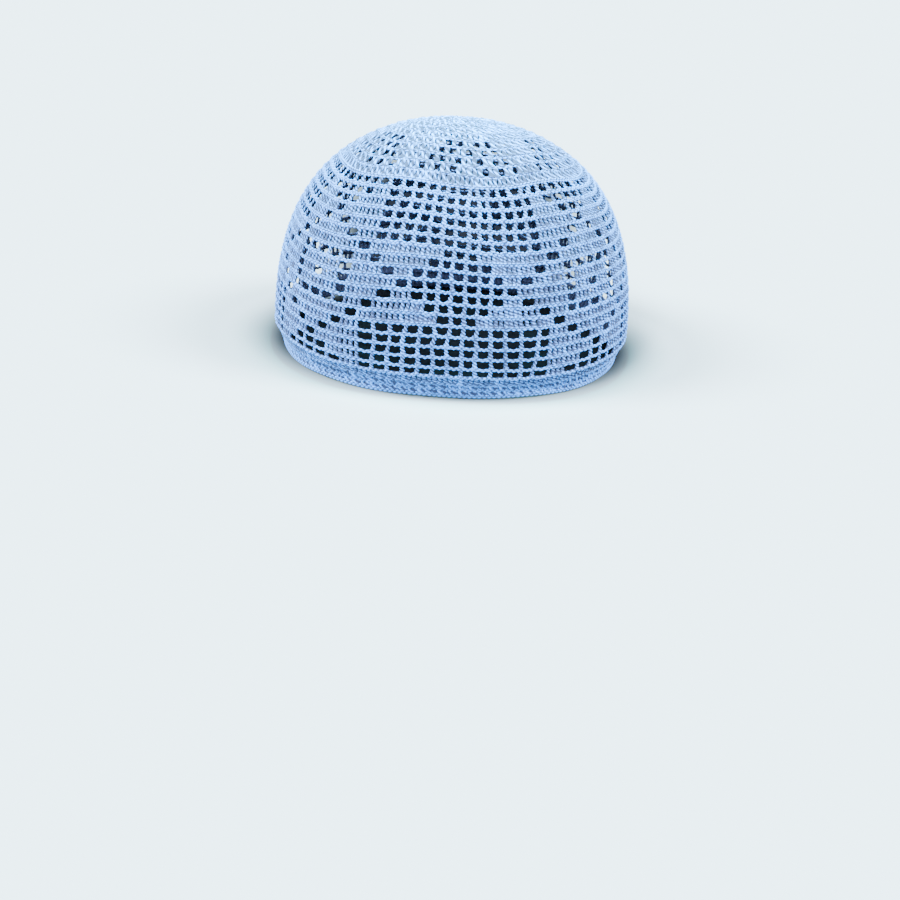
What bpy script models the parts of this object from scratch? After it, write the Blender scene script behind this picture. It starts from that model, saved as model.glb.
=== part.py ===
"""A crocheted prayer cap: one domed net of cotton, open at its rim.

The rim stands on the ground at z = 0, the back of the head is at -Y and the forehead at +Y.
The wall is a sheet of faces laid out flat by column and round, pierced, wrapped on the dome
and given its thickness.
"""
import math
from collections import namedtuple

import bmesh
import bpy
import numpy as np

# Outer size of the cap
HALF_WIDTH = 0.081
BACK_DEPTH = 0.090
FRONT_DEPTH = 0.092
HEIGHT = 0.1077
WALL = 0.002

# Outline from above: 2 is an ellipse, and a higher number is squarer
BACK_SQUARENESS = 2.3
FRONT_SQUARENESS = 2.2

# Outline from the side: the rim draws in, and the crown is set back and leans back
EDGE_HEIGHT = 0.0024
WIDEST_HEIGHT = 0.013
RIM_SCALE = 0.945
RISE_POWER = 2.5
PULL_POWER = 1.9
CROWN_SET_BACK = 0.01
CROWN_LEAN = 0.22

# Points along the side profile and around the plan, and the distance at which points merge
TUCK_POINTS = 40
DOME_POINTS = 400
PLAN_POINTS = 1441
MERGE_DISTANCE = 0.00001

# Rounds of crochet, counted from the first net round above the edge band: the wide rounds near
# the rim are stretched sideways, which makes them lower than those near the crown
BAND_TOP = 0.0122
ROUND = 0.00486
ROUND_GROWTH = 0.095
ROUNDS_TO_POLE = 30

# The net repeats around the wall, and the star of the crown around the pole
REPEATS = 4
CELLS = 20
MOTIFS = 6
CELL_SWAY = 0.34
PATTERN_TURN = 0.45

# Coarse gaps: cells across one gap and its bar, and the bars left between gaps
GAP_CELLS = 2.6
BAR_CELLS = 0.34
BAR_ROUNDS = 0.44
FIELD_GAPS = 5
SOLID_COLUMNS = 7
GAP_COLUMNS = 2

# Bands of gaps in rounds from the edge band, with the gaps across each repeat
Band = namedtuple("Band", "start end gaps")
WALL_BANDS = (
    Band(0.0, 2.5, 5),
    Band(2.5, 5.0, 5),
    Band(5.0, 7.0, 1),
    Band(7.0, 10.0, 3),
    Band(10.0, 12.0, 1),
    Band(12.0, 15.0, 5),
    Band(15.0, 18.0, 5),
)

# Gaps of the star in columns from the middle of each motif
Star = namedtuple("Star", "start end columns")
STAR_BANDS = (
    Star(19.0, 21.0, ((-5, -1), (1, 5))),
    Star(21.0, 23.0, ((-2, 2),)),
)
CROWN_ROUNDS = (24.2, 25.5, 26.8, 28.0, 29.1, ROUNDS_TO_POLE)

# Face lines of the edge band, as shares of its height, and rounds covered by one face
EDGE_SHARES = (0.0, 0.22, 0.5, 0.75)
FACE_ROUNDS = 1.3

REPEAT_COLUMNS = FIELD_GAPS * (GAP_COLUMNS + 1) - 1 + SOLID_COLUMNS
COLUMNS = REPEATS * REPEAT_COLUMNS
MOTIF_COLUMNS = COLUMNS // MOTIFS
MIDDLE_COLUMN = (FIELD_GAPS * (GAP_COLUMNS + 1) - 1) // 2
WIDEST_Y = (BACK_DEPTH - FRONT_DEPTH) / 2
TURN = 2 * math.pi

CAP_BLUE = (0.56, 0.74, 0.93, 1.0)
CAP_ROUGHNESS = 0.85


def clear_scene():
    for item in list(bpy.data.objects):
        bpy.data.objects.remove(item, do_unlink=True)


def cotton():
    """Matt sky-blue cotton yarn."""
    material = bpy.data.materials.new("cotton")
    material.use_nodes = True
    shader = material.node_tree.nodes["Principled BSDF"]
    shader.inputs["Base Color"].default_value = CAP_BLUE
    shader.inputs["Roughness"].default_value = CAP_ROUGHNESS
    shader.inputs["Metallic"].default_value = 0.0
    material.diffuse_color = CAP_BLUE
    return material


def side_profile():
    """Heights of rings from the rim to the pole, and the scale of each ring."""
    edge = np.array([0.0])
    tuck = np.linspace(EDGE_HEIGHT, WIDEST_HEIGHT, TUCK_POINTS)[:-1]
    rise = np.linspace(0.0, 1.0, DOME_POINTS)
    dome = WIDEST_HEIGHT + (HEIGHT - WIDEST_HEIGHT) * np.sin(rise * math.pi / 2)
    down = (WIDEST_HEIGHT - tuck) / (WIDEST_HEIGHT - EDGE_HEIGHT)
    up = (dome - WIDEST_HEIGHT) / (HEIGHT - WIDEST_HEIGHT)
    dome_scale = np.maximum(1.0 - up ** RISE_POWER, 0.0) ** (1 / PULL_POWER)
    tuck_scale = 1.0 - (1.0 - RIM_SCALE) * (1.0 - np.cos(down * math.pi)) / 2
    heights = np.concatenate([edge, tuck, dome])
    scales = np.concatenate([[RIM_SCALE], tuck_scale, dome_scale])
    return heights, scales


def plan_outline():
    """Outline from above, as shares of the half width and depth in metres, by distance around."""
    angles = np.linspace(-math.pi, math.pi, PLAN_POINTS)
    sine = np.sin(angles)
    cosine = np.cos(angles)
    back = cosine >= 0
    power = np.where(back, 2 / BACK_SQUARENESS, 2 / FRONT_SQUARENESS)
    across = np.sign(sine) * np.abs(sine) ** power
    along = np.where(back, -BACK_DEPTH, FRONT_DEPTH) * np.abs(cosine) ** power
    steps = np.hypot(np.diff(across * HALF_WIDTH), np.diff(along))
    distance = np.concatenate([[0.0], np.cumsum(steps)])
    return distance / distance[-1] - 0.5, across, along


HEIGHTS, SCALES = side_profile()
AROUND, ACROSS, ALONG = plan_outline()
LEANING = np.where(HEIGHTS > WIDEST_HEIGHT, 1.0 - SCALES, 0.0)
BACK_Y = -CROWN_SET_BACK * LEANING - BACK_DEPTH * SCALES
BACK_Z = HEIGHTS + CROWN_LEAN * LEANING * BACK_DEPTH * SCALES
UP_THE_BACK = np.concatenate([[0.0], np.cumsum(np.hypot(np.diff(BACK_Y), np.diff(BACK_Z)))])


def dome_point(turn, distance):
    """Point of the outer face: turn is a share of the way around from the back of the head,
    towards +X, and distance is measured up the back from the rim."""
    share = (turn + 0.5) % 1.0 - 0.5
    across = np.interp(share, AROUND, ACROSS) * HALF_WIDTH
    along = np.interp(share, AROUND, ALONG)
    height = np.interp(distance, UP_THE_BACK, HEIGHTS)
    scale = np.interp(distance, UP_THE_BACK, SCALES)
    leaning = np.interp(distance, UP_THE_BACK, LEANING)
    y = WIDEST_Y - CROWN_SET_BACK * leaning + along * scale
    z = height - CROWN_LEAN * leaning * along * scale
    return across * scale, y, z


def round_distance(rounds):
    """Distance up the back to a round, which reaches the pole at the last one."""
    last_whole = STAR_BANDS[-1].end
    whole = min(rounds, last_whole)
    distance = BAND_TOP + ROUND * whole * (1.0 + ROUND_GROWTH * (whole / last_whole - 1.0))
    if rounds <= last_whole:
        return distance
    share = (rounds - last_whole) / (ROUNDS_TO_POLE - last_whole)
    return distance + share * (UP_THE_BACK[-1] - distance)


def wall_stations():
    """Cells from the middle of the field to each column line of one repeat."""
    stations = []
    first = -FIELD_GAPS * GAP_CELLS / 2
    for gap in range(FIELD_GAPS):
        left = first + gap * GAP_CELLS + BAR_CELLS / 2
        right = left + GAP_CELLS - BAR_CELLS
        for step in range(GAP_COLUMNS + 1):
            stations.append(left + (right - left) * step / GAP_COLUMNS)
    start = stations[-1]
    solid = CELLS + stations[0] - start
    for column in range(1, SOLID_COLUMNS):
        stations.append(start + solid * column / SOLID_COLUMNS)
    return stations


def wall_turn(column, stations):
    """Share of the way around of a column line in the wall, whose net cells are the narrower."""
    repeat, index = divmod(column, REPEAT_COLUMNS)
    cells = repeat * CELLS + stations[index]
    sway = CELL_SWAY * math.sin(TURN * cells / CELLS)
    return (cells - sway + PATTERN_TURN) / (REPEATS * CELLS)


def crown_turn(column):
    """Share of the way around of an evenly spaced column line in the crown."""
    return (column - MIDDLE_COLUMN) / COLUMNS + PATTERN_TURN / (REPEATS * CELLS)


def round_lines():
    """Row lines from the rim to the pole, and the band of gaps above each line, if any."""
    lines = [BAND_TOP * share for share in EDGE_SHARES]
    bands = [None] * len(lines)
    for band in WALL_BANDS + STAR_BANDS:
        low = band.start + BAR_ROUNDS / 2
        high = band.end - BAR_ROUNDS / 2
        steps = max(1, round((high - low) / FACE_ROUNDS))
        for step in range(steps):
            lines.append(round_distance(low + (high - low) * step / steps))
            bands.append(band)
        lines.append(round_distance(high))
        bands.append(None)
    for rounds in CROWN_ROUNDS:
        lines.append(round_distance(rounds))
        bands.append(None)
    return lines, bands


def is_gap(column, band):
    """Whether the face to the right of a column line is part of a gap of the band."""
    if band is None:
        return False
    if isinstance(band, Star):
        from_middle = (column - MIDDLE_COLUMN + MOTIF_COLUMNS // 2) % MOTIF_COLUMNS - MOTIF_COLUMNS // 2
        return any(left <= from_middle < right for left, right in band.columns)
    index = column % REPEAT_COLUMNS
    gap, step = divmod(index, GAP_COLUMNS + 1)
    first = (FIELD_GAPS - band.gaps) // 2
    return step < GAP_COLUMNS and first <= gap < first + band.gaps


def cap_sheet():
    """Pierced sheet, wrapped on the outer face of the dome."""
    lines, bands = round_lines()
    stations = wall_stations()
    rows = len(lines) - 1
    sheet = bmesh.new()
    bmesh.ops.create_grid(sheet, x_segments=COLUMNS, y_segments=rows, size=0.5)
    for vert in sheet.verts:
        vert.co.x = round((vert.co.x + 0.5) * COLUMNS)
        vert.co.y = round((vert.co.y + 0.5) * rows)

    gaps = []
    for face in sheet.faces:
        middle = face.calc_center_median()
        if is_gap(math.floor(middle.x), bands[math.floor(middle.y)]):
            gaps.append(face)
    bmesh.ops.delete(sheet, geom=gaps, context="FACES")

    for vert in sheet.verts:
        column = round(vert.co.x)
        distance = lines[round(vert.co.y)]
        in_wall = distance < round_distance(WALL_BANDS[-1].end)
        turn = wall_turn(column, stations) if in_wall else crown_turn(column)
        vert.co = dome_point(turn, distance)
    bmesh.ops.remove_doubles(sheet, verts=sheet.verts, dist=MERGE_DISTANCE)
    mesh = bpy.data.meshes.new("cap")
    sheet.to_mesh(mesh)
    sheet.free()
    return mesh


def build_cap(collection):
    cap = bpy.data.objects.new("cap", cap_sheet())
    collection.objects.link(cap)
    cap.data.materials.append(cotton())
    cap.data.shade_smooth()
    cap.data.set_sharp_from_angle(angle=math.radians(35))
    wall = cap.modifiers.new("wall", "SOLIDIFY")
    wall.thickness = WALL
    wall.offset = -1.0
    return cap


def main():
    clear_scene()
    collection = bpy.data.collections.new("prayer_cap")
    bpy.context.scene.collection.children.link(collection)
    build_cap(collection)


main()
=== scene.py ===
"""Finish of a crocheted prayer cap: every post and ridge of its cotton yarn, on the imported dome."""
import math
from collections import namedtuple

import bpy
import numpy as np
from mathutils import Matrix, Vector


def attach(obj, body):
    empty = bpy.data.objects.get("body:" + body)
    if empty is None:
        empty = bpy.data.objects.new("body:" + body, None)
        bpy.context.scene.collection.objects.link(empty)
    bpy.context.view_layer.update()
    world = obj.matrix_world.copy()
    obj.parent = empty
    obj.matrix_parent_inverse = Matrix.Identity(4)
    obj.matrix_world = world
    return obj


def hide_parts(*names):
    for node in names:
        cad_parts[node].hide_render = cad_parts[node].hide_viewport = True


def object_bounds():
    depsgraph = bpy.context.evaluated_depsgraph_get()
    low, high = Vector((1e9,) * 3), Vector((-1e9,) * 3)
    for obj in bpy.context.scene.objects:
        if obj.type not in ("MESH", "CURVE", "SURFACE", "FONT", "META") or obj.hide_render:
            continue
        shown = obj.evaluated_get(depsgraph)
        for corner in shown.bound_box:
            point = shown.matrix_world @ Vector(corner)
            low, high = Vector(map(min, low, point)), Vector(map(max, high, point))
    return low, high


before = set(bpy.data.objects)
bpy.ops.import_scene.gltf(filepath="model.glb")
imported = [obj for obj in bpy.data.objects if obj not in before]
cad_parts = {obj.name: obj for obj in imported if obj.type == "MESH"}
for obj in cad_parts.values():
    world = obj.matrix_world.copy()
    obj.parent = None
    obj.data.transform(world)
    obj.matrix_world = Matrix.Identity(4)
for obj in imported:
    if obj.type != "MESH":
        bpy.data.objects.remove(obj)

bl_info = {
    "name": "Crocheted Prayer Cap",
    "version": (1, 0, 0),
    "blender": (4, 5, 0),
    "location": "View3D > Sidebar > Prayer Cap",
    "description": "Dresses the packed prayer cap in crochet stitches of cotton yarn",
    "category": "Add Mesh",
}

MM = 0.001
BODY = "root"
NODE = "cap"
CAD_LOW, CAD_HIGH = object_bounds()
CAD_SIZE = CAD_HIGH - CAD_LOW

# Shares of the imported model's size: the depth of its back half, and the height of its pole
BACK_SHARE = 0.4945
POLE_SHARE = 0.987

# The net repeats around the wall, and the star around the pole. A cell's first knot lies half a
# cell before the cell's middle.
REPEATS = 4
CELLS = 20
CELL_STITCHES = 3
HALF_CELL = 0.5
MOTIFS = 6
OPEN = "o"

# Wall rounds from the edge up: a letter for each cell, from the middle of the small open square
WALL_CHART = (
    "ooo#ooooooooooooo#oo",
    "oo##ooooooooooooo##o",
    "o###ooooooooooooo###",
    "#o##ooooooooooooo##o",
    "##o#ooooooooooooo#o#",
    "###o#####ooo#####o##",
    "ooo#o###ooooo###o#oo",
    "##o##o#ooooooo#o##o#",
    "o#o###ooooooooo###o#",
    "##o##o#ooooooo#o##o#",
    "ooo#o###ooooo###o#oo",
    "###o#####ooo#####o##",
    "##o#ooooooooooooo#o#",
    "#o##ooooooooooooo##o",
    "o###ooooooooooooo###",
    "oo##ooooooooooooo##o",
    "ooo#ooooooooooooo#oo",
    "oooooooooooooooooooo",
)
WALL_ROUNDS = len(WALL_CHART)

# The round on which each piece of the wall starts, after the lower net
LOWER_FIGURES = 5
UPPER_FIGURES = 8
UPPER_NET = 12

# Crown rounds from the wall up to the pole: stitches in each motif, and the middles of its
# windows in stitches to either side of the motif's centre line
Star = namedtuple("Star", "stitches windows")
STAR_CHART = (
    Star(24, (3, 6, 9)),
    Star(22, (2, 5, 7)),
    Star(20, (0, 3, 5)),
    Star(17, (1.5, 3.5)),
    Star(15, ()),
    Star(13, ()),
    Star(11, ()),
    Star(9, ()),
    Star(6, ()),
    Star(4, ()),
    Star(2, ()),
)
SOLID_ROUNDS = 1
SOLID_STITCHES = 180
STAR_START = WALL_ROUNDS + SOLID_ROUNDS
POLE_ROUND = STAR_START + len(STAR_CHART)

# Rounds whose height follows the stitch: the star's solid ones share what is left up to the pole
PIERCED_ROUNDS = sum(1 for star in STAR_CHART if star.windows)
EVEN_ROUNDS = STAR_START + PIERCED_ROUNDS


def size(name, default, description):
    return bpy.props.FloatProperty(
        name=name, default=default, description=description, subtype="DISTANCE", unit="LENGTH", precision=5
    )


def number(name, default, description):
    return bpy.props.FloatProperty(name=name, default=default, description=description, precision=3)


def factor(name, default, description):
    return bpy.props.FloatProperty(
        name=name, default=default, description=description, subtype="FACTOR", min=0.0, max=1.0, precision=3
    )


def angle(name, default, description):
    return bpy.props.FloatProperty(
        name=name, default=math.radians(default), description=description, subtype="ANGLE", unit="ROTATION"
    )


def colour(name, default, description):
    return bpy.props.FloatVectorProperty(
        name=name, default=default, description=description, subtype="COLOR", size=3, min=0.0, max=1.0
    )


class CapShape(bpy.types.PropertyGroup):
    """Outer shape of the cap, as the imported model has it."""

    half_width: size("Half width", CAD_SIZE.x / 2, "Half of the width over the ears")
    back_depth: size("Back depth", CAD_SIZE.y * BACK_SHARE, "From the widest line to the back")
    front_depth: size("Front depth", CAD_SIZE.y * (1 - BACK_SHARE), "From the widest line to the forehead")
    height: size("Pole height", CAD_SIZE.z * POLE_SHARE, "Height of the middle of the crown")
    wall: size("Wall", 2.0 * MM, "Thickness of the crochet")
    back_squareness: number("Back squareness", 2.3, "2 is an ellipse, and more is squarer")
    front_squareness: number("Front squareness", 2.2, "2 is an ellipse, and more is squarer")
    edge_height: size("Edge height", 2.4 * MM, "Upright part of the rim")
    widest_height: size("Widest height", 13.0 * MM, "Height of the widest ring")
    rim_scale: factor("Rim scale", 0.945, "Size of the rim against the widest ring")
    rise_power: number("Rise power", 2.5, "How late the side turns in towards the crown")
    pull_power: number("Pull power", 1.9, "How full the shoulder of the crown is")
    crown_set_back: size("Crown set back", 10.0 * MM, "How far the crown lies behind the rim's middle")
    crown_lean: number("Crown lean", 0.22, "How much the upper rings tip towards the front")


class StitchSizes(bpy.types.PropertyGroup):
    """Sizes of the stitches."""

    band_top: size("Edge band", 12.2 * MM, "From the rim to the first round of net, up the back")
    round_height: size("Round height", 4.86 * MM, "Mean height of one round of double crochet")
    round_growth: number("Round growth", 0.095, "How much lower the rounds are where the cap is wide")
    edge_round: size("Edge round", 3.1 * MM, "Height of one round of single crochet")
    spacing: size("Stitch spacing", 1.95 * MM, "Width of a stitch of slack yarn")
    post_width: size("Post width", 2.25 * MM, "Width of one post of slack yarn")
    post_depth: size("Post depth", 1.25 * MM, "Depth of one post through the wall")
    strand_width: size("Strand width", 1.2 * MM, "Width of each of the two strands of a chain")
    sag: size("Sag", 0.75 * MM, "Sag of the chain under an open cell")
    wander: size("Wander", 0.44 * MM, "How far a single knot strays from its even place")
    drift: number("Drift", 1.0, "Strength of the slow waves that carry the knots sideways")
    ripple: number("Ripple", 1.0, "Strength of the slow waves that raise and lower the rounds")
    sway: number("Sway", 0.34, "How many cells the open net draws together")
    back_stretch: number("Back stretch", 0.03, "How much wider the cells are at the back of the head")
    wall_turn: number("Wall turn", 0.32, "Cells by which the wall's pattern is turned")
    crown_turn: number("Crown turn", 1.0, "Cells by which the star is turned")
    seed: bpy.props.IntProperty(name="Seed", default=7, description="Seed of the hand-made unevenness")


class CottonLook(bpy.types.PropertyGroup):
    """Colours and finish of the yarn, with the colour of its painted shade."""

    # The yarn's colour on lit crests, and the colour that painted shade fades it to between the plies,
    # inside the cap, on crowded flanks and under chains
    light: colour("Lit yarn", (0.055, 0.33, 1.0), "Colour on the crest of the plies")
    painted_shade_colour: colour("Yarn in the crease", (0.024, 0.036, 0.085), "Colour between the plies")
    # Strength of the painted shade
    crease: number("Crease", 1.5, "How much darker the yarn is between the plies")
    roughness: factor("Roughness", 0.82, "Roughness of the cotton")
    sheen: factor("Sheen", 0.1, "Soft edge light of loose fibres")


class StageLook(bpy.types.PropertyGroup):
    """Floor, lights and camera."""

    floor: colour("Floor", (0.37, 0.51, 0.55), "Colour of the pale floor")
    # Painted shadow: a near-black floor colour under the cap and in an oval behind it, where the cap's
    # shade falls, and the sizes of both ovals
    painted_shadow_floor: colour("Floor under the cap", (0.004, 0.005, 0.007), "Colour under the cap and behind it")
    shade_end: size("Shade end", 106 * MM, "Distance from the cap's middle to the full floor colour")
    shade_back: size("Shade back", 200 * MM, "Middle of the deeper oval of floor behind the cap")
    shade_width: size("Shade width", 90 * MM, "Half width of the deeper oval behind the cap")
    shade_length: size("Shade length", 283 * MM, "Half length of the deeper oval behind the cap")
    key: number("Key", 8.6, "Strength of the key light")
    key_side: angle("Key side", 20.0, "Turn of the key to the left of the camera")
    key_height: angle("Key height", 42.0, "Height of the key above the floor")
    key_softness: angle("Key softness", 12.0, "Width of the key as seen from the cap")
    left: number("Left light", 18.5, "Strength of the soft light from the left")
    right: number("Right light", 18.5, "Strength of the soft light from the right")
    fill_side: angle("Fill side", 80.0, "Turn of the left and right lights from the camera")
    fill_height: angle("Fill height", 46.0, "Height of the left and right lights above the floor")
    fill_softness: angle("Fill softness", 25.0, "Width of the left and right lights as seen from the cap")
    top: bpy.props.FloatProperty(
        name="Top light", default=280.0, description="Power of the light over the crown", unit="POWER"
    )
    sky: number("Sky", 0.35, "Strength of the even surrounding light")
    distance: size("Camera distance", 1.195, "From the lens to the middle of the cap")
    elevation: angle("Elevation", 14.94, "Camera angle above the rim")
    roll: angle("Roll", 3.245, "Tilt of the camera")
    lens: bpy.props.FloatProperty(
        name="Lens", default=105.0, description="Focal length on a sensor 36 mm wide", unit="CAMERA"
    )


# Points along the side profile and around the plan
TUCK_POINTS = 40
DOME_POINTS = 400
PLAN_POINTS = 1441

# Steps over which the directions of the wall are measured: a distance up it, and a share of the
# way around
UP_STEP = 0.3 * MM
AROUND_STEP = 0.0006


class Dome:
    """Outer face of the cap by share of the way around and distance up the back from the rim."""

    def __init__(self, shape):
        self.shape = shape
        self.widest_y = (shape.back_depth - shape.front_depth) / 2
        self._lay_out_profile()
        self._lay_out_plan()

    def _lay_out_profile(self):
        shape = self.shape
        tuck = np.linspace(shape.edge_height, shape.widest_height, TUCK_POINTS)[:-1]
        rise = np.linspace(0.0, math.pi / 2, DOME_POINTS)
        dome = shape.widest_height + (shape.height - shape.widest_height) * np.sin(rise)
        down = (shape.widest_height - tuck) / (shape.widest_height - shape.edge_height)
        up = (dome - shape.widest_height) / (shape.height - shape.widest_height)
        tuck_scale = 1.0 - (1.0 - shape.rim_scale) * (1.0 - np.cos(down * math.pi)) / 2
        dome_scale = np.maximum(1.0 - up ** shape.rise_power, 0.0) ** (1 / shape.pull_power)
        self.heights = np.concatenate([[0.0], tuck, dome])
        self.scales = np.concatenate([[shape.rim_scale], tuck_scale, dome_scale])
        self.leaning = np.where(self.heights > shape.widest_height, 1.0 - self.scales, 0.0)
        back_y = -shape.crown_set_back * self.leaning - shape.back_depth * self.scales
        back_z = self.heights + shape.crown_lean * self.leaning * shape.back_depth * self.scales
        steps = np.hypot(np.diff(back_y), np.diff(back_z))
        self.distances = np.concatenate([[0.0], np.cumsum(steps)])
        self.pole = self.distances[-1]

    def _lay_out_plan(self):
        shape = self.shape
        angles = np.linspace(-math.pi, math.pi, PLAN_POINTS)
        sine = np.sin(angles)
        cosine = np.cos(angles)
        back = cosine >= 0
        power = np.where(back, 2 / shape.back_squareness, 2 / shape.front_squareness)
        self.across = np.sign(sine) * np.abs(sine) ** power * shape.half_width
        self.along = np.where(back, -shape.back_depth, shape.front_depth) * np.abs(cosine) ** power
        steps = np.hypot(np.diff(self.across), np.diff(self.along))
        around = np.concatenate([[0.0], np.cumsum(steps)])
        self.girth = around[-1]
        self.around = around / self.girth - 0.5

    def point(self, share, distance):
        """Point of the outer face."""
        share = (share + 0.5) % 1.0 - 0.5
        scale = np.interp(distance, self.distances, self.scales)
        leaning = np.interp(distance, self.distances, self.leaning)
        along = np.interp(share, self.around, self.along) * scale
        x = np.interp(share, self.around, self.across) * scale
        y = self.widest_y - self.shape.crown_set_back * leaning + along
        z = np.interp(distance, self.distances, self.heights) - self.shape.crown_lean * leaning * along
        return np.stack([x, y, z], axis=-1)

    def wall_frame(self, share, distance):
        """Point in the middle of the wall, with the directions up the wall and out of it."""
        low = np.maximum(distance - UP_STEP, 0.0)
        high = np.minimum(distance + UP_STEP, self.pole)
        up = unit(self.point(share, high) - self.point(share, low))
        side = self.point(share + AROUND_STEP, distance) - self.point(share - AROUND_STEP, distance)
        out = unit(np.cross(side, up))
        return self.point(share, distance) - out * self.shape.wall / 2, up, out

    def girth_at(self, distance):
        """Length of the ring at a distance up the back."""
        return self.girth * np.interp(distance, self.distances, self.scales)


def unit(vectors):
    return vectors / np.linalg.norm(vectors, axis=-1, keepdims=True)


# Usual stray of hand-made stitches: the turn of a post about itself, its width, depth, place and
# tone, and the height of a chain. The last is the most that a knot strays, in usual strays.
SPIN_STRAY = 0.3
WALL_WIDTH_STRAY = 0.08
EVEN_WIDTH_STRAY = 0.06
DEPTH_STRAY = 0.07
PLACE_STRAY = 0.11
TONE_STRAY = 0.12
CHAIN_STRAY = 0.06 * MM
KNOT_LIMIT = 2.2

# Smooth unevenness of the chains: how many waves go around, in the width of the wall's chains and
# in the height of the even ones. A chain of few stitches has only the slowest wave.
WIDTH_WAVES = (41, 83, 167)
WIDTH_SWELL = 0.08
HEIGHT_WAVES = (2, 5, 11)
SHORT_CHAIN_WAVES = (2,)
SHORT_CHAIN = 60
HEIGHT_SWELL = 0.3 * MM


def smooth_noise(rng, count, waves, strength):
    """Closed line of smooth random values: sine waves of random phase and half to full strength."""
    steps = np.arange(count) / count
    total = np.zeros(count)
    for wave in waves:
        total += np.sin(2 * math.pi * (wave * steps + rng.random())) * rng.uniform(0.5, 1.0)
    return total * strength / math.sqrt(len(waves))


# Slow waves of hand-made rounds: how many go around, the cell where one crests on the edge, the
# cells by which the crest moves with each round, and the stray on the edge and under the crown
Wave = namedtuple("Wave", "count crest lean edge crown")
DRIFT = (
    Wave(6, 7.0, 0.1, 0.5 * MM, 0.9 * MM),
    Wave(10, 4.0, 0.6, 0.4 * MM, 0.4 * MM),
    Wave(16, 3.5, 0.4, 0.4 * MM, 0.4 * MM),
)
RIPPLE = (
    Wave(3, 23.0, -1.5, 0.5 * MM, 0.5 * MM),
    Wave(6, 9.0, -0.2, 0.5 * MM, 1.2 * MM),
)


def stray_of_knots(waves, cells):
    """How far each knot of each line strays by the waves, which the crown takes from the wall."""
    lines = np.minimum(np.arange(POLE_ROUND + 1), WALL_ROUNDS)[:, None]
    middles = np.arange(cells) - HALF_CELL
    total = np.zeros((POLE_ROUND + 1, cells))
    for wave in waves:
        stray = wave.edge + (wave.crown - wave.edge) * lines / WALL_ROUNDS
        past_crest = middles - wave.crest - wave.lean * lines
        total += stray * np.cos(2 * math.pi * wave.count * past_crest / cells)
    return total


def fading(lines):
    """Share of the ripples on each line: they fade from the wall to the pole."""
    return np.clip((POLE_ROUND - lines) / (POLE_ROUND - WALL_ROUNDS), 0.0, 1.0)


class Crochet:
    """Places of the rounds, cells and knots."""

    def __init__(self, scene):
        self.sizes = scene.stitch_sizes
        self.dome = Dome(scene.cap_shape)
        self.cells = REPEATS * CELLS
        self.rng = np.random.default_rng(self.sizes.seed)
        lines = POLE_ROUND + 1
        limit = KNOT_LIMIT * self.sizes.wander
        wander = self.rng.normal(0.0, self.sizes.wander, (lines, self.cells)).clip(-limit, limit)
        self.knots = wander + stray_of_knots(DRIFT, self.cells) * self.sizes.drift
        ripples = stray_of_knots(RIPPLE, self.cells) * self.sizes.ripple
        self.ripples = ripples * fading(np.arange(lines))[:, None]

    def height(self, line):
        """Distance up the back of a line between rounds, counted from the edge band."""
        sizes = self.sizes
        whole = min(line, EVEN_ROUNDS)
        growth = 1.0 + sizes.round_growth * (whole / EVEN_ROUNDS - 1.0)
        distance = sizes.band_top + sizes.round_height * whole * growth
        if line <= EVEN_ROUNDS:
            return distance
        share = (line - EVEN_ROUNDS) / (POLE_ROUND - EVEN_ROUNDS)
        return distance + share * (self.dome.pole - distance)

    def on_line(self, values, line, places):
        """Values of the knots of a line at places between them, counted in cells."""
        closed = np.append(values[line], values[line][0])
        return np.interp(places % self.cells, np.arange(self.cells + 1), closed)

    def level(self, line, places):
        """Distance up the back of the yarn on a line, with the line's ripples."""
        return self.height(line) + self.on_line(self.ripples, line, places)

    def ripple_at(self, line, shares):
        """How far the ripples raise a line, by share of the way around."""
        places = shares * self.cells + CELLS / 2 - self.sizes.wall_turn + HALF_CELL
        return self.on_line(self.ripples, line, places)

    def share_on(self, line, places):
        """Share of the way around of the yarn on a line, with the stray of its knots."""
        stray = self.on_line(self.knots, line, places) / self.dome.girth_at(self.height(line))
        return self.cell_share(places - HALF_CELL) + stray

    def stretch(self, line):
        """Width of a wall stitch near a line, as a share of that of slack yarn."""
        girth = self.dome.girth_at(self.height(line))
        return girth / (self.cells * CELL_STITCHES * self.sizes.spacing)

    def cell_share(self, cells):
        """Share of the way around of a place counted in cells, the open net's being narrower."""
        sway = self.sizes.sway * np.sin(2 * math.pi * cells / CELLS)
        share = (cells + sway - CELLS / 2 + self.sizes.wall_turn) / self.cells
        return share + self.sizes.back_stretch * np.sin(2 * math.pi * share) / (2 * math.pi)

    def crown_share(self, share):
        """Share of the way around of a place in the even rounds, which turn with the star."""
        return share + self.sizes.crown_turn / self.cells

    def spins(self, stitches):
        """Turn of each post about itself, so that the wide side of one meets the narrow of the next."""
        return np.round(stitches) % 2 * math.pi / 2 + self.rng.normal(0, SPIN_STRAY, len(stitches))

    def is_open(self, row, cell):
        """Whether a cell of the wall is open: above and below the wall none is."""
        return 0 <= row < WALL_ROUNDS and WALL_CHART[row][cell % CELLS] == OPEN


def deselect_all():
    if bpy.context.mode != "OBJECT":
        bpy.ops.object.mode_set(mode="OBJECT")
    bpy.ops.object.select_all(action="DESELECT")


# The attribute that holds the painted shade of each vertex: how deep it lies between the plies, with
# painted shade inside the cap, on crowded flanks and under chains added
PAINTED_SHADE = "crease"

# A post's section is a circle of six corners, pinched between its two plies
PLY_SECTION = 6
PINCH = (1.0, 0.74, 0.74, 1.0, 0.74, 0.74)

# Widths of a post from its foot to its head, against its usual width, and the twist of its yarn
POST_WIDTHS = (1.6, 1.42, 1.22, 1.06, 0.96, 0.92, 0.92, 0.98, 1.06, 1.10)
POST_TWIST = math.radians(580)
CROWN_TWIST = math.radians(260)
SHORT_WIDTHS = (0.95, 1.1, 1.05, 1.0, 0.9)
SHORT_TWIST = math.radians(190)


def crease_of(pinch):
    """How deep each corner of a section lies between the plies."""
    return (pinch.max() - pinch) / (pinch.max() - pinch.min())


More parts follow.
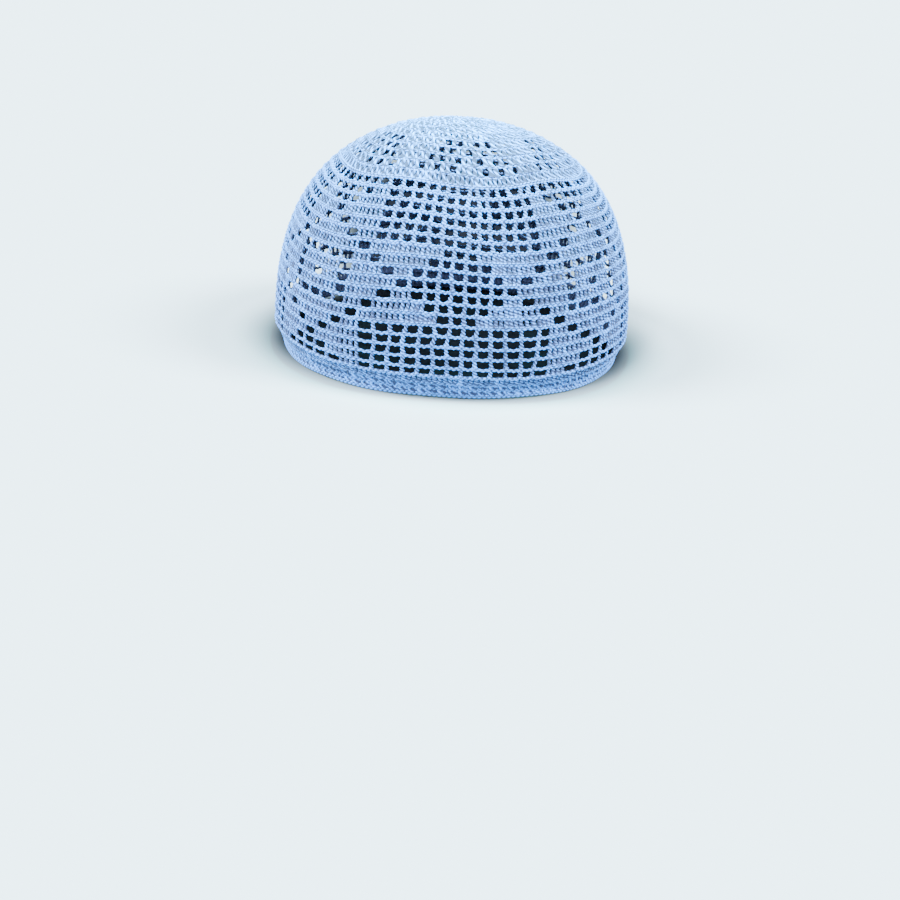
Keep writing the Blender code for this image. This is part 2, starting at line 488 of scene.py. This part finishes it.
def model_post(name, widths, twist):
    """One post of twisted yarn, one unit long: a pinched circle, extruded, turned and widened."""
    steps = len(widths) - 1
    deselect_all()
    bpy.ops.mesh.primitive_circle_add(vertices=PLY_SECTION, radius=1.0, fill_type="NGON")
    post = bpy.context.object
    post.name = name
    for vert, pinch in zip(post.data.vertices, PINCH):
        vert.co *= pinch * widths[0]
    bpy.ops.object.mode_set(mode="EDIT")
    bpy.ops.mesh.select_all(action="SELECT")
    for step in range(steps):
        grow = widths[step + 1] / widths[step]
        middle = (0.0, 0.0, (step + 1) / steps)
        bpy.ops.mesh.extrude_region_move(TRANSFORM_OT_translate={"value": (0.0, 0.0, 1.0 / steps)})
        bpy.ops.transform.rotate(value=twist / steps, orient_axis="Z", center_override=middle)
        bpy.ops.transform.resize(value=(grow, grow, 1.0), center_override=middle)
    bpy.ops.mesh.select_all(action="SELECT")
    bpy.ops.mesh.normals_make_consistent(inside=False)
    bpy.ops.object.mode_set(mode="OBJECT")
    return post


def mesh_arrays(mesh):
    """Vertices, corners and face starts of a mesh."""
    verts = np.empty(len(mesh.vertices) * 3)
    corners = np.empty(len(mesh.loops), dtype=np.int32)
    starts = np.empty(len(mesh.polygons), dtype=np.int32)
    mesh.vertices.foreach_get("co", verts)
    mesh.loops.foreach_get("vertex_index", corners)
    mesh.polygons.foreach_get("loop_start", starts)
    return verts.reshape(-1, 3), corners, starts


def set_painted_shade(mesh, values):
    """Stores the painted shade of each vertex: 0 on the crest of the plies, 1 in the crease."""
    crease = mesh.attributes.new(PAINTED_SHADE, "FLOAT", "POINT")
    crease.data.foreach_set("value", values.astype(np.float32))


def joined_mesh(name, verts, corners, starts, crease):
    """New mesh from arrays of vertices, corners and face starts, with the painted shade of each vertex."""
    mesh = bpy.data.meshes.new(name)
    mesh.vertices.add(len(verts))
    mesh.vertices.foreach_set("co", verts.ravel())
    mesh.loops.add(len(corners))
    mesh.loops.foreach_set("vertex_index", corners.astype(np.int32))
    mesh.polygons.add(len(starts))
    mesh.polygons.foreach_set("loop_start", starts.astype(np.int32))
    mesh.update(calc_edges=True)
    set_painted_shade(mesh, crease)
    return mesh


# Arrays with one value for each post: its foot and head as share of the way around and distance up the
# back, its width, depth and turn about itself, and the share of its sides that others crowd, which sets the
# painted shade on its flanks
Posts = namedtuple("Posts", "share_low low share_high high width depth spin crowding")

# How much painted shade darkens the yarn between its plies, at the ends of a post, all over a post, on the
# inner side of the cap, on the flanks of crowded posts, on the lower side of a chain, between the beads of
# a chain and all over it
PLY_SHADE = 0.8
END_SHADE = 0.4
END_POWER = 4
POST_SHADE = 0.04
SHORT_POST_SHADE = -0.05
INNER_SHADE = 1.25
FLANK_SHADE = 0.75
FLANK_START = 0.5
UNDER_SHADE = 0.25
BEAD_SHADE = 0.55
CHAIN_SHADE = 0.1


def copies_of_post(post, dome, posts):
    """Vertices, corners and face starts of a copy of the post at each place, and its vertices' painted
    shade.
    """
    verts, corners, starts = mesh_arrays(post.data)
    foot, _, out_low = dome.wall_frame(posts.share_low, posts.low)
    head, _, out_high = dome.wall_frame(posts.share_high, posts.high)
    axis = head - foot
    out = unit(out_low + out_high)
    side = unit(np.cross(out, axis))
    cosine = np.cos(posts.spin)[:, None]
    sine = np.sin(posts.spin)[:, None]
    x = verts[None, :, 0] * cosine - verts[None, :, 1] * sine
    y = verts[None, :, 0] * sine + verts[None, :, 1] * cosine
    # Painted shade on the inner side of each post and on the flanks that its neighbours crowd
    flank = np.clip((np.abs(x) - FLANK_START) / (1.0 - FLANK_START), 0.0, 1.0)
    shade = np.clip(-y, 0.0, 1.0) * INNER_SHADE + flank * posts.crowding[:, None] * FLANK_SHADE
    x = x * posts.width[:, None] / 2
    y = y * posts.depth[:, None] / 2
    z = verts[None, :, 2, None]
    placed = foot[:, None] + axis[:, None] * z + side[:, None] * x[..., None] + out[:, None] * y[..., None]
    count = len(foot)
    shift = np.arange(count)[:, None]
    all_corners = (corners[None] + shift * len(verts)).ravel()
    all_starts = (starts[None] + shift * len(corners)).ravel()
    return placed.reshape(-1, 3), all_corners, all_starts, shade.ravel()


def post_piece(name, post, crochet, posts, painted_shade_all_over=POST_SHADE):
    """One mesh of all the copies of a post, with painted shade between the plies, at its ends and inside.
    """
    verts, corners, starts, shade = copies_of_post(post, crochet.dome, posts)
    points = len(post.data.vertices)
    place = np.arange(len(verts)) % points
    valley = crease_of(np.array(PINCH))[place % PLY_SECTION]
    height = np.array([vert.co.z for vert in post.data.vertices])[place]
    from_middle = np.abs(height - 0.5) * 2
    uneven = np.repeat(crochet.rng.normal(0.0, TONE_STRAY, len(posts.low)), points)
    # Painted shade at the ends of the post, where it goes under the chains
    ends = from_middle ** END_POWER * END_SHADE
    crease = np.maximum(valley * PLY_SHADE, ends) + shade + uneven + painted_shade_all_over
    mesh = joined_mesh(name, verts, corners, starts, crease)
    mesh.shade_smooth()
    piece = bpy.data.objects.new(name, mesh)
    bpy.context.scene.collection.objects.link(piece)
    return piece


# A strand's section has four corners, and its width swells once in the steps of each stitch
CHAIN_SECTION = 4
CHAIN_STEPS = 4
CHAIN_PINCH = (1.0, 0.78, 1.0, 0.78)
CHAIN_BEADS = (1.22, 1.05, 0.72, 1.0)

# Distance at which the meeting edges of a strand are welded
WELD = 0.000001

# How posts and the bridges of chain over open cells thin where the yarn is stretched
POST_SLACK = -0.4
BRIDGE_WIDTH = 0.95
BRIDGE_SLACK = -1.35

# Widths of posts in solid parts and of even posts and chains, against the spacing of stitches
SOLID_WIDTH = 1.12
EVEN_WIDTH = 1.08
EVEN_CHAIN_WIDTH = 1.2

# Even posts are this much wider than the wall's at most, and the flanks of all are half crowded, which
# gives them half the painted flank shade
EVEN_WIDEST = 1.1
EVEN_CROWDING = 0.5

# Posts reach past the middle of the chains at both ends, and the last ones stop short of the pole
OVERLAP = 0.1 * MM
POLE_GAP = 0.9 * MM

# Share of its sag by which the ends of a sagging stretch of chain lie above the line
SAG_RISE = 0.4

# The two strands of a chain: place up the wall and out of it in strand widths, their twist, and
# the step by which the loops of one strand are set against those of the other
Strand = namedtuple("Strand", "rise lift twist shift")
STRANDS = (Strand(0.30, 0.22, 1, 0), Strand(-0.34, 0.10, -1, 2))


def strand_piece(name, crochet, stitches, distance, share_of, width, strand):
    """One strand around the cap: a grid rolled up into a ring of yarn with a bead in each stitch."""
    deselect_all()
    sections = stitches * CHAIN_STEPS
    bpy.ops.mesh.primitive_grid_add(x_subdivisions=sections, y_subdivisions=CHAIN_SECTION, size=1.0)
    ring = bpy.context.object
    ring.name = name
    grid = np.empty(len(ring.data.vertices) * 3)
    ring.data.vertices.foreach_get("co", grid)
    grid = grid.reshape(-1, 3) + 0.5
    section = np.rint(grid[:, 0] * sections).astype(int) % sections
    corner = np.rint(grid[:, 1] * CHAIN_SECTION).astype(int) % CHAIN_SECTION
    steps = np.arange(sections) / CHAIN_STEPS
    middle, up, out = crochet.dome.wall_frame(share_of(steps), distance)
    turn = corner * 2 * math.pi / CHAIN_SECTION + strand.twist * math.pi * steps[section]
    bead = np.array(CHAIN_BEADS)[(section + strand.shift) % CHAIN_STEPS]
    radius = np.array(CHAIN_PINCH)[corner] * width[section] * bead / 2
    rise = radius * np.sin(turn) + strand.rise * width[section]
    lift = radius * np.cos(turn) + strand.lift * width[section]
    verts = middle[section] + up[section] * rise[:, None] + out[section] * lift[:, None]
    ring.data.vertices.foreach_set("co", verts.ravel())
    # Painted shade between the beads, on the inner side, on the lower side and all over the chain
    valley = crease_of(bead) ** 2 * BEAD_SHADE
    inward = np.clip(-np.cos(turn), 0.0, 1.0) * INNER_SHADE
    under = np.clip(-np.sin(turn), 0.0, 1.0) * UNDER_SHADE
    set_painted_shade(ring.data, valley + inward + under + CHAIN_SHADE)
    bpy.ops.object.mode_set(mode="EDIT")
    bpy.ops.mesh.select_all(action="SELECT")
    bpy.ops.mesh.remove_doubles(threshold=WELD)
    bpy.ops.mesh.normals_make_consistent(inside=False)
    bpy.ops.object.mode_set(mode="OBJECT")
    ring.data.shade_smooth()
    return ring


def chain(name, crochet, stitches, distance, share_of, width):
    """The chain on top of a round: two strands side by side that twist against each other."""
    return [
        strand_piece(name, crochet, stitches, distance, share_of, width, strand) for strand in STRANDS
    ]


def join_pieces(name, pieces):
    """Joins the pieces into one object of this name."""
    deselect_all()
    for piece in pieces:
        piece.select_set(True)
    bpy.context.view_layer.objects.active = pieces[0]
    bpy.ops.object.join()
    whole = bpy.context.view_layer.objects.active
    whole.name = name
    whole.data.name = name
    return whole


def wall_posts(crochet, post, row):
    """Posts of a wall round: one at the side of each open cell, and three in a solid one."""
    sizes = crochet.sizes
    rng = crochet.rng
    places = []
    crowding = []
    for cell in range(crochet.cells):
        solid = not crochet.is_open(row, cell)
        solid_before = not crochet.is_open(row, cell - 1)
        places.append(cell)
        crowding.append((solid + solid_before) / 2)
        if solid:
            for stitch in range(1, CELL_STITCHES):
                places.append(cell + stitch / CELL_STITCHES)
                crowding.append(1.0)
    places = np.array(places)
    crowding = np.array(crowding)
    stretch = crochet.stretch(row)
    slack_width = sizes.post_width * stretch ** POST_SLACK
    width = np.where(crowding >= 1.0, sizes.spacing * stretch * SOLID_WIDTH, slack_width)
    posts = Posts(
        crochet.share_on(row, places),
        crochet.level(row, places) - OVERLAP,
        crochet.share_on(row + 1, places),
        crochet.level(row + 1, places) + OVERLAP,
        width * rng.normal(1.0, WALL_WIDTH_STRAY, len(places)),
        sizes.post_depth * rng.normal(1.0, DEPTH_STRAY, len(places)),
        crochet.spins(places * CELL_STITCHES),
        crowding,
    )
    return post_piece("wall_posts", post, crochet, posts)


def wall_chain(crochet, line):
    """The chain on one line of the wall: it sags under open cells, and thins out between two."""
    sizes = crochet.sizes
    rng = crochet.rng
    stitches = crochet.cells * CELL_STITCHES
    sections = stitches * CHAIN_STEPS
    places = np.arange(sections) / (CHAIN_STEPS * CELL_STITCHES)
    index = np.floor(places).astype(int)
    open_above = np.array([crochet.is_open(line, cell) for cell in index])
    open_below = np.array([crochet.is_open(line - 1, cell) for cell in index])
    arch = np.sin(math.pi * (places % 1.0))
    height = crochet.level(line, places) + sizes.sag * (SAG_RISE - arch) * open_above
    height = height + rng.normal(0, CHAIN_STRAY, sections)
    bridge = min(1.0, BRIDGE_WIDTH * crochet.stretch(line) ** BRIDGE_SLACK)
    thin = 1.0 - (1.0 - bridge) * np.sqrt(arch) * (open_above & open_below)
    width = sizes.strand_width * thin * (1 + smooth_noise(rng, sections, WIDTH_WAVES, WIDTH_SWELL))

    def share_of(steps):
        return crochet.share_on(line, steps / CELL_STITCHES)

    return chain("wall_chain", crochet, stitches, height, share_of, width)


def even_chain(crochet, stitches, distance, width_share=1.0, line=POLE_ROUND):
    """A chain of even stitches, with the ripples of a line: the line at the pole has none."""
    sections = stitches * CHAIN_STEPS
    spacing = crochet.dome.girth_at(distance) / stitches
    width = np.full(sections, min(crochet.sizes.strand_width, spacing * EVEN_CHAIN_WIDTH) * width_share)
    waves = HEIGHT_WAVES if stitches > SHORT_CHAIN else SHORT_CHAIN_WAVES
    wave = smooth_noise(crochet.rng, sections, waves, HEIGHT_SWELL)
    shares = crochet.crown_share(np.arange(sections) / sections)
    height = distance + wave + crochet.ripple_at(line, shares)

    def share_of(steps):
        return crochet.crown_share(steps / stitches)

    return chain("even_chain", crochet, stitches, height, share_of, width)


def even_posts(crochet, shares, low, high, spacing, width_share=1.0):
    """Posts at the given shares of the way around, between two distances up the back."""
    sizes = crochet.sizes
    rng = crochet.rng
    count = len(shares)
    width = min(sizes.post_width * EVEN_WIDEST, spacing * EVEN_WIDTH) * width_share
    stray = rng.normal(0, PLACE_STRAY, count) * spacing / crochet.dome.girth_at(np.mean(low + high) / 2)
    return Posts(
        shares + stray,
        np.broadcast_to(low - OVERLAP, count),
        shares - stray,
        np.broadcast_to(high + OVERLAP, count),
        width * rng.normal(1.0, EVEN_WIDTH_STRAY, count),
        sizes.post_depth * rng.normal(1.0, DEPTH_STRAY, count),
        crochet.spins(np.arange(count)),
        np.full(count, EVEN_CROWDING),
    )


def star_slots(star):
    """Places of the posts in one motif, in stitches from its centre line."""
    places = [index - star.stitches / 2 for index in range(star.stitches)]
    return [place for place in places if abs(place) not in star.windows]


# Strands of the chains in the star, against those in the wall
STAR_CHAIN_WIDTH = 0.78


def star_parts(crochet, post):
    """Posts and chains of the star, round by round up to the pole."""
    parts = []
    for index, star in enumerate(STAR_CHART):
        line = STAR_START + index
        low = crochet.height(line)
        high = min(crochet.height(line + 1), crochet.dome.pole - POLE_GAP)
        stitches = star.stitches * MOTIFS
        shares = []
        for motif in range(MOTIFS):
            for place in star_slots(star):
                shares.append(crochet.crown_share((motif + place / star.stitches) / MOTIFS))
        shares = np.array(shares)
        spacing = crochet.dome.girth_at((low + high) / 2) / stitches
        foot = low + crochet.ripple_at(line, shares)
        head = high + crochet.ripple_at(line + 1, shares)
        posts = even_posts(crochet, shares, foot, head, spacing)
        parts.append(post_piece("star_posts", post, crochet, posts, painted_shade_all_over=0.0))
        parts.extend(even_chain(crochet, stitches, low, STAR_CHAIN_WIDTH, line))
    return parts


def even_shares(crochet, stitches):
    """Shares of the way around of the posts of an even round, between the ends of its stitches."""
    return crochet.crown_share((np.arange(stitches) + 0.5) / stitches)


def solid_round(crochet, post, stitches, low, high, width_share=1.0, painted_shade_all_over=POST_SHADE):
    """A round with a post in every stitch."""
    shares = even_shares(crochet, stitches)
    spacing = crochet.dome.girth_at(np.mean(low + high) / 2) / stitches
    posts = even_posts(crochet, shares, low, high, spacing, width_share)
    return post_piece("solid_posts", post, crochet, posts, painted_shade_all_over)


def solid_parts(crochet, post):
    """Posts and chain of the solid round between the wall and the star."""
    shares = even_shares(crochet, SOLID_STITCHES)
    low = crochet.height(WALL_ROUNDS)
    foot = low + crochet.ripple_at(WALL_ROUNDS, shares)
    head = crochet.height(STAR_START) + crochet.ripple_at(STAR_START, shares)
    posts = solid_round(crochet, post, SOLID_STITCHES, foot, head)
    return [posts, *even_chain(crochet, SOLID_STITCHES, low, line=WALL_ROUNDS)]


# Lowest line of the edge in strand widths, and the widths of its posts against even ones
RIM_HEIGHT = 1.25
EDGE_POST_WIDTH = 1.1
SHORT_POST_WIDTH = 1.15


def edge_parts(crochet, tall, short):
    """A round of tall posts below the net, and two of short ones below it down to the rim."""
    sizes = crochet.sizes
    stitches = crochet.cells * CELL_STITCHES
    rim = sizes.strand_width * RIM_HEIGHT
    second = sizes.edge_round + rim / 2
    third = second + sizes.edge_round
    top = sizes.band_top + crochet.ripple_at(0, even_shares(crochet, stitches))
    return [
        solid_round(crochet, tall, stitches, third, top, EDGE_POST_WIDTH),
        solid_round(crochet, short, stitches, second, third, SHORT_POST_WIDTH, SHORT_POST_SHADE),
        solid_round(crochet, short, stitches, rim, second, SHORT_POST_WIDTH, SHORT_POST_SHADE),
        *even_chain(crochet, stitches, third),
        *even_chain(crochet, stitches, second),
        *even_chain(crochet, stitches, rim),
    ]


class Value:
    """A shader socket on which Python's operators add Math nodes."""

    def __init__(self, tree, socket):
        self.tree = tree
        self.socket = socket

    def _math(self, operation, first, second):
        return self.tree.node("ShaderNodeMath", {"operation": operation}, {0: first, 1: second})

    def __add__(self, other):
        return self._math("ADD", self, other)

    def __radd__(self, other):
        return self._math("ADD", other, self)

    def __sub__(self, other):
        return self._math("SUBTRACT", self, other)

    def __rsub__(self, other):
        return self._math("SUBTRACT", other, self)

    def __mul__(self, other):
        return self._math("MULTIPLY", self, other)

    def __rmul__(self, other):
        return self._math("MULTIPLY", other, self)


# Sockets of a Mix node that mixes colours
MIX_SHARE = 0
MIX_FIRST = 6
MIX_SECOND = 7
MIX_RESULT = 2


class Tree:
    """Node tree of a new material, with its Principled shader."""

    def __init__(self, name):
        self.material = bpy.data.materials.new(name)
        self.material.use_nodes = True
        self.tree = self.material.node_tree
        self.shader = self.tree.nodes["Principled BSDF"]

    def node(self, kind, settings=None, values=None, output=0):
        """Adds a node: its settings first, then the values or links of its sockets."""
        node = self.tree.nodes.new(kind)
        for key, setting in (settings or {}).items():
            setattr(node, key, setting)
        for key, value in (values or {}).items():
            self.put(node.inputs[key], value)
        return Value(self, node.outputs[output])

    def put(self, socket, value):
        if isinstance(value, Value):
            self.tree.links.new(value.socket, socket)
        else:
            socket.default_value = value

    def mix(self, share, first, second):
        """Colour between two others: the first at a share of 0 and the second at 1."""
        settings = {"data_type": "RGBA", "clamp_factor": True}
        values = {MIX_SHARE: share, MIX_FIRST: (*first, 1.0), MIX_SECOND: (*second, 1.0)}
        return self.node("ShaderNodeMix", settings, values, MIX_RESULT)

    def finish(self, **values):
        """Sets the shader's sockets by name, and gives the finished material."""
        for key, value in values.items():
            self.put(self.shader.inputs[key.replace("_", " ")], value)
        return self.material


YARN = "cotton yarn"

# Tone of the crest of the plies, past the full lit colour, and how far it varies with the mottle of
# the dye and with the fibres
CREST_TONE = 1.05
MOTTLE_TONE = 0.5
FIBRE_TONE = 0.5
FIBRE_ROUGHNESS = 0.2
SHEEN_TINT = (0.45, 0.75, 1.0, 1.0)


def cotton_material(look):
    """Matt cotton yarn: plies, loose fibres, and painted shade that darkens its colour between the plies,
    inside the cap and under chains.
    """
    tree = Tree(YARN)
    place = tree.node("ShaderNodeTexCoord", output="Object")
    mottle = tree.node("ShaderNodeTexNoise", None, {"Vector": place, "Scale": 140.0, "Detail": 2.0})
    fibre = tree.node("ShaderNodeTexNoise", None, {"Vector": place, "Scale": 2600.0, "Detail": 3.0})
    crease = tree.node("ShaderNodeAttribute", {"attribute_name": PAINTED_SHADE}, output="Fac")
    # The painted shade attribute fades the lit colour towards the painted shade colour
    tone = (mottle - 0.5) * MOTTLE_TONE + (fibre - 0.5) * FIBRE_TONE + CREST_TONE - crease * look.crease
    tint = tree.mix(tone, look.painted_shade_colour, look.light)
    bump = tree.node("ShaderNodeBump", None, {"Height": fibre, "Strength": 0.35, "Distance": 0.15 * MM})
    rough = (fibre - 0.5) * FIBRE_ROUGHNESS + look.roughness
    return tree.finish(
        Base_Color=tint,
        Normal=bump,
        Roughness=rough,
        Sheen_Weight=look.sheen,
        Sheen_Roughness=0.45,
        Sheen_Tint=SHEEN_TINT,
        Specular_IOR_Level=0.15,
    )


def cotton():
    """The yarn's material, made once."""
    return bpy.data.materials.get(YARN) or cotton_material(bpy.context.scene.cotton_look)


def dress(piece):
    """Gives a finished piece its yarn and its body, and hides the node that it stands for."""
    piece.data.materials.clear()
    piece.data.materials.append(cotton())
    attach(piece, BODY)
    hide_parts(NODE)


def build_wall(crochet, name, rows):
    """One piece of the wall: the posts and the lower chain of each of its rounds."""
    post = model_post("post", POST_WIDTHS, POST_TWIST)
    parts = []
    for row in rows:
        parts.append(wall_posts(crochet, post, row))
        parts.extend(wall_chain(crochet, row))
    bpy.data.objects.remove(post)
    dress(join_pieces(name, parts))


class AddCrown(bpy.types.Operator):
    """Add the star of the crown, with the solid round below it"""

    bl_idname = "prayer_cap.add_crown"
    bl_label = "Crown"

    def execute(self, context):
        crochet = Crochet(context.scene)
        post = model_post("post", POST_WIDTHS, CROWN_TWIST)
        parts = [*star_parts(crochet, post), *solid_parts(crochet, post)]
        bpy.data.objects.remove(post)
        dress(join_pieces("crown_star", parts))
        return {"FINISHED"}


class AddUpperNet(bpy.types.Operator):
    """Add the rounds of open net between the crown and the figures"""

    bl_idname = "prayer_cap.add_upper_net"
    bl_label = "Upper net"

    def execute(self, context):
        build_wall(Crochet(context.scene), "upper_net", range(UPPER_NET, WALL_ROUNDS))
        return {"FINISHED"}


class AddFigures(bpy.types.Operator):
    """Add the rounds of solid figures around the small open squares, in two pieces"""

    bl_idname = "prayer_cap.add_figures"
    bl_label = "Figures"

    def execute(self, context):
        build_wall(Crochet(context.scene), "upper_figures", range(UPPER_FIGURES, UPPER_NET))
        build_wall(Crochet(context.scene), "lower_figures", range(LOWER_FIGURES, UPPER_FIGURES))
        return {"FINISHED"}


class AddLowerNet(bpy.types.Operator):
    """Add the rounds of open net between the figures and the edge"""

    bl_idname = "prayer_cap.add_lower_net"
    bl_label = "Lower net"

    def execute(self, context):
        build_wall(Crochet(context.scene), "lower_net", range(0, LOWER_FIGURES))
        return {"FINISHED"}


class AddEdge(bpy.types.Operator):
    """Add the solid round and the single crochet rounds of the rim"""

    bl_idname = "prayer_cap.add_edge"
    bl_label = "Edge"

    def execute(self, context):
        tall = model_post("post", POST_WIDTHS, POST_TWIST)
        short = model_post("short_post", SHORT_WIDTHS, SHORT_TWIST)
        parts = edge_parts(Crochet(context.scene), tall, short)
        bpy.data.objects.remove(tall)
        bpy.data.objects.remove(short)
        dress(join_pieces("edge", parts))
        return {"FINISHED"}


FLOOR_SIZE = 8.0

# Where the soft edges of the floor's two ovals of painted shadow start, as shares of the way out to their
# rims
UNDER_EDGE = 0.7
BEHIND_EDGE = 0.55


def outside_oval(tree, place, middle, reach, edge):
    """How far a point of the floor is out of a soft oval of painted shadow: 0 inside it and 1 outside."""
    offset = tree.node("ShaderNodeVectorMath", {"operation": "SUBTRACT"}, {0: place, 1: (0.0, middle, 0.0)})
    scaled = tree.node("ShaderNodeVectorMath", {"operation": "DIVIDE"}, {0: offset, 1: (*reach, 1.0)})
    distance = tree.node("ShaderNodeVectorMath", {"operation": "LENGTH"}, {0: scaled}, output="Value")
    return tree.node(
        "ShaderNodeMapRange",
        {"interpolation_type": "SMOOTHSTEP"},
        {"Value": distance, "From Min": edge, "From Max": 1.0},
    )


def add_floor(look):
    """Pale floor with painted shadow: a near-black colour under the cap and in an oval behind it."""
    deselect_all()
    bpy.ops.mesh.primitive_plane_add(size=FLOOR_SIZE, location=(0.0, 0.0, 0.0))
    floor = bpy.context.object
    floor.name = "floor"
    tree = Tree("pale floor")
    place = tree.node("ShaderNodeTexCoord", output="Object")
    under = outside_oval(tree, place, 0.0, (look.shade_end, look.shade_end), UNDER_EDGE)
    reach = (look.shade_width, look.shade_length)
    behind = outside_oval(tree, place, look.shade_back, reach, BEHIND_EDGE)
    # Painted shadow: the floor fades to the near-black colour inside both ovals
    tint = tree.mix(under * behind, look.painted_shadow_floor, look.floor)
    floor.data.materials.append(tree.finish(Base_Color=tint, Roughness=0.9, Specular_IOR_Level=0.0))


# Colours of the lights: the beam on the crown has the second
DAYLIGHT = (0.92, 0.94, 1.0)
SKYLIGHT = (0.10, 1.0, 0.96)

# The beam's radius at the floor, the place, height and size of its lamp, and its soft share
BEAM_RADIUS = 78.0 * MM
BEAM_Y = -20.0 * MM
BEAM_HEIGHT = 750.0 * MM
BEAM_LAMP = 40.0 * MM
BEAM_SOFTNESS = 0.9


def add_sun(name, side, height, strength, softness):
    """Far light from a side angle, measured from behind the camera, and a height angle."""
    deselect_all()
    bpy.ops.object.light_add(type="SUN", location=(0.0, 0.0, 1.0))
    light = bpy.context.object
    light.name = name
    light.data.energy = strength
    light.data.angle = softness
    light.data.color = DAYLIGHT
    level = math.cos(height)
    towards = Vector((math.sin(side) * level, math.cos(side) * level, -math.sin(height)))
    light.rotation_euler = towards.to_track_quat("-Z", "Y").to_euler()


def add_top_light(power):
    """Soft round beam straight down on the crown, which leaves the floor around the cap alone."""
    deselect_all()
    bpy.ops.object.light_add(type="SPOT", location=(0.0, BEAM_Y, BEAM_HEIGHT))
    light = bpy.context.object
    light.name = "top"
    light.data.energy = power
    light.data.color = SKYLIGHT
    light.data.spot_size = 2 * math.atan(BEAM_RADIUS / BEAM_HEIGHT)
    light.data.spot_blend = BEAM_SOFTNESS
    light.data.shadow_soft_size = BEAM_LAMP


def add_sky(scene, strength):
    """Even light from all around."""
    world = scene.world or bpy.data.worlds.new("studio")
    scene.world = world
    world.use_nodes = True
    background = world.node_tree.nodes["Background"]
    background.inputs["Color"].default_value = (*DAYLIGHT, 1.0)
    background.inputs["Strength"].default_value = strength


# The camera is aimed by a point inside the cap and the pixel where it shows, from the left and the
# top of a picture 900 pixels wide
PIVOT = Vector((0.0, -4.0 * MM, 50.0 * MM))
PICTURE = 900.0
PIVOT_X = 455.7
PIVOT_Y = 237.2
SENSOR = 36.0


def add_camera(look):
    """Camera at the photo's angle, aimed so that the cap stands high in the frame."""
    focal = look.lens / SENSOR * PICTURE
    aim = Vector((0.0, math.cos(look.elevation), -math.sin(look.elevation)))
    deselect_all()
    bpy.ops.object.camera_add(location=PIVOT - aim * look.distance)
    camera = bpy.context.object
    camera.name = "camera"
    camera.data.lens = look.lens
    camera.data.sensor_width = SENSOR
    camera.data.clip_start = 0.01
    camera.data.clip_end = 50.0
    straight = aim.to_track_quat("-Z", "Y").to_matrix()
    roll = Matrix.Rotation(look.roll, 3, "Z")
    down = Matrix.Rotation(-math.atan((PICTURE / 2 - PIVOT_Y) / focal), 3, "X")
    aside = Matrix.Rotation(math.atan((PIVOT_X - PICTURE / 2) / focal), 3, "Y")
    camera.rotation_euler = (straight @ roll @ down @ aside).to_euler()
    bpy.context.scene.camera = camera


class AddStage(bpy.types.Operator):
    """Add the pale floor, the soft lights and the camera"""

    bl_idname = "prayer_cap.add_stage"
    bl_label = "Stage"

    def execute(self, context):
        look = context.scene.stage_look
        add_floor(look)
        add_sun("key", look.key_side, look.key_height, look.key, look.key_softness)
        add_sun("left", look.fill_side, look.fill_height, look.left, look.fill_softness)
        add_sun("right", -look.fill_side, look.fill_height, look.right, look.fill_softness)
        add_top_light(look.top)
        add_sky(context.scene, look.sky)
        add_camera(look)
        return {"FINISHED"}


class CapPanel(bpy.types.Panel):
    """Lists the pieces of the cap and their sizes"""

    bl_idname = "VIEW3D_PT_prayer_cap"
    bl_label = "Prayer Cap"
    bl_space_type = "VIEW_3D"
    bl_region_type = "UI"
    bl_category = "Prayer Cap"

    def draw(self, context):
        column = self.layout.column()
        for operator in OPERATORS:
            column.operator(operator.bl_idname)
        for group, name in GROUPS.items():
            settings = getattr(context.scene, name)
            column.label(text=group.__name__)
            for setting in group.__annotations__:
                column.prop(settings, setting)


GROUPS = {
    CapShape: "cap_shape",
    StitchSizes: "stitch_sizes",
    CottonLook: "cotton_look",
    StageLook: "stage_look",
}
OPERATORS = (AddStage, AddCrown, AddUpperNet, AddFigures, AddLowerNet, AddEdge)


def register():
    for group, name in GROUPS.items():
        bpy.utils.register_class(group)
        setattr(bpy.types.Scene, name, bpy.props.PointerProperty(type=group))
    for kind in (*OPERATORS, CapPanel):
        bpy.utils.register_class(kind)


def unregister():
    for kind in (CapPanel, *reversed(OPERATORS)):
        bpy.utils.unregister_class(kind)
    for group, name in GROUPS.items():
        delattr(bpy.types.Scene, name)
        bpy.utils.unregister_class(group)


def main():
    register()
    bpy.ops.prayer_cap.add_stage()
    bpy.ops.prayer_cap.add_crown()
    bpy.ops.prayer_cap.add_upper_net()
    bpy.ops.prayer_cap.add_figures()
    bpy.ops.prayer_cap.add_lower_net()
    bpy.ops.prayer_cap.add_edge()


if __name__ == "__main__":
    main()
